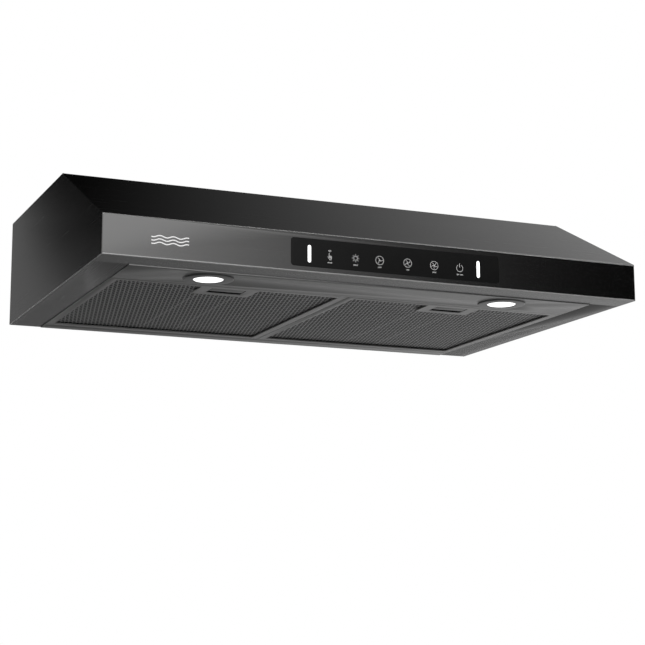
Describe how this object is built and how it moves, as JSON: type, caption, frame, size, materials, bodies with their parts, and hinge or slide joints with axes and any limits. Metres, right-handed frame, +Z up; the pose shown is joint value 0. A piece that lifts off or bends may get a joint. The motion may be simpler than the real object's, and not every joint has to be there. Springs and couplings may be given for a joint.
{
  "type": "under cabinet range hood",
  "caption": "Slant-fronted steel cooker hood that hangs under a cabinet, with touch glass in the lip, lamps in the tray, drop-down mesh filters and twin blowers.",
  "frame": {"origin": "centre of the four keyholes, in the plane of the top face that meets the cabinet", "axes": "+X to the right seen from the front, +Y to the wall, +Z up"},
  "size_m": [0.756, 0.5002, 0.1955],
  "materials": {
    "black_steel": "fine horizontal brushing, black stainless",
    "dark_steel": "fine brushing, black stainless",
    "plain_steel": "galvanised sheet",
    "filter_steel": "satin, dark",
    "filter_mesh": "expanded mesh",
    "aluminium": "satin",
    "latch_plastic": "satin grey",
    "satin_bezel": "satin",
    "diffuser": "white translucent",
    "lamp_board": "white board",
    "black_glass": "black printed glass",
    "black_plastic": "matte",
    "circuit_board": "green board",
    "brass": "sintered bronze",
    "rubber": "matte",
    "zinc_steel": "zinc plated",
    "copper_winding": "enamelled wire, stands for copper",
    "shaft_steel": "ground",
    "wheel_plastic": "moulded"
  },
  "bodies": {
    "hood": {"canopy_front": "black_steel", "top_panel": "black_steel", "left_side_panel": "black_steel", "right_side_panel": "black_steel", "back_panel": "plain_steel", "rear_vent_cover": "plain_steel", "light_panel": "dark_steel", "rear_rail": "dark_steel", "led_boards": "lamp_board", "control_glass": "black_glass", "panel_carrier": "black_plastic", "light_guides": "diffuser", "touch_board": "circuit_board", "motor_bearings": "brass", "blower_mounts": "rubber", "blower_screws": "zinc_steel", "discharge_duct": "plain_steel", "duct_collar": "plain_steel", "collar_gasket": "rubber", "collar_screws": "zinc_steel", "control_box": "plain_steel", "control_box_cover": "plain_steel", "junction_box": "plain_steel", "junction_box_cover": "plain_steel", "cover_screws": "zinc_steel", "power_board": "circuit_board", "motor_capacitors": "aluminium", "cable_bush": "black_plastic", "lamp_bezel_left": "satin_bezel", "lamp_lens_left": "diffuser", "lamp_can_left": "black_plastic", "volute_left": "plain_steel", "inlet_plate_left": "plain_steel", "inlet_guard_left": "black_plastic", "motor_can_left": "zinc_steel", "stator_left": "copper_winding", "lamp_bezel_right": "satin_bezel", "lamp_lens_right": "diffuser", "lamp_can_right": "black_plastic", "volute_right": "plain_steel", "inlet_plate_right": "plain_steel", "inlet_guard_right": "black_plastic", "motor_can_right": "zinc_steel", "stator_right": "copper_winding"},
    "filter_left": {"filter_frame_left": "filter_steel", "filter_mesh_left": "filter_mesh", "filter_pack_left": "aluminium", "latch_springs_left": "zinc_steel"},
    "filter_right": {"filter_frame_right": "filter_steel", "filter_mesh_right": "filter_mesh", "filter_pack_right": "aluminium", "latch_springs_right": "zinc_steel"},
    "latch_left": {"latch_left": "latch_plastic"},
    "latch_right": {"latch_right": "latch_plastic"},
    "fan_wheel_left": {"impeller_left": "wheel_plastic", "rotor_left": "shaft_steel"},
    "fan_wheel_right": {"impeller_right": "wheel_plastic", "rotor_right": "shaft_steel"},
    "flap_front": {"damper_flap_front": "plain_steel"},
    "flap_rear": {"damper_flap_rear": "plain_steel"}
  },
  "joints": [
    {"name": "filter_left_drop", "type": "hinge", "parent": "hood", "child": "filter_left", "pos_m": [-0.16595, 0.12, -0.1529], "axis": [1, 0, 0], "range_deg": [0, 60]},
    {"name": "latch_left_slide", "type": "slide", "parent": "filter_left", "child": "latch_left", "axis": [0, 1, 0], "range_m": [0, 0.007], "stiffness_N_per_m": 300, "springref_m": -0.004, "deforming": ["latch_springs_left"]},
    {"name": "fan_left_spin", "type": "hinge", "parent": "hood", "child": "fan_wheel_left", "pos_m": [-0.245, 0, -0.05], "axis": [0, 0, 1], "continuous": true},
    {"name": "filter_right_drop", "type": "hinge", "parent": "hood", "child": "filter_right", "pos_m": [0.16595, 0.12, -0.1529], "axis": [1, 0, 0], "range_deg": [0, 60]},
    {"name": "latch_right_slide", "type": "slide", "parent": "filter_right", "child": "latch_right", "axis": [0, 1, 0], "range_m": [0, 0.007], "stiffness_N_per_m": 300, "springref_m": -0.004, "deforming": ["latch_springs_right"]},
    {"name": "fan_right_spin", "type": "hinge", "parent": "hood", "child": "fan_wheel_right", "pos_m": [0.245, 0, -0.05], "axis": [0, 0, 1], "continuous": true},
    {"name": "flap_front_swing", "type": "hinge", "parent": "hood", "child": "flap_front", "pos_m": [0, 0.093, 0.012], "axis": [-1, 0, 0], "range_deg": [0, 80]},
    {"name": "flap_rear_swing", "type": "hinge", "parent": "hood", "child": "flap_rear", "pos_m": [0, 0.099, 0.012], "axis": [1, 0, 0], "range_deg": [0, 80]}
  ]
}
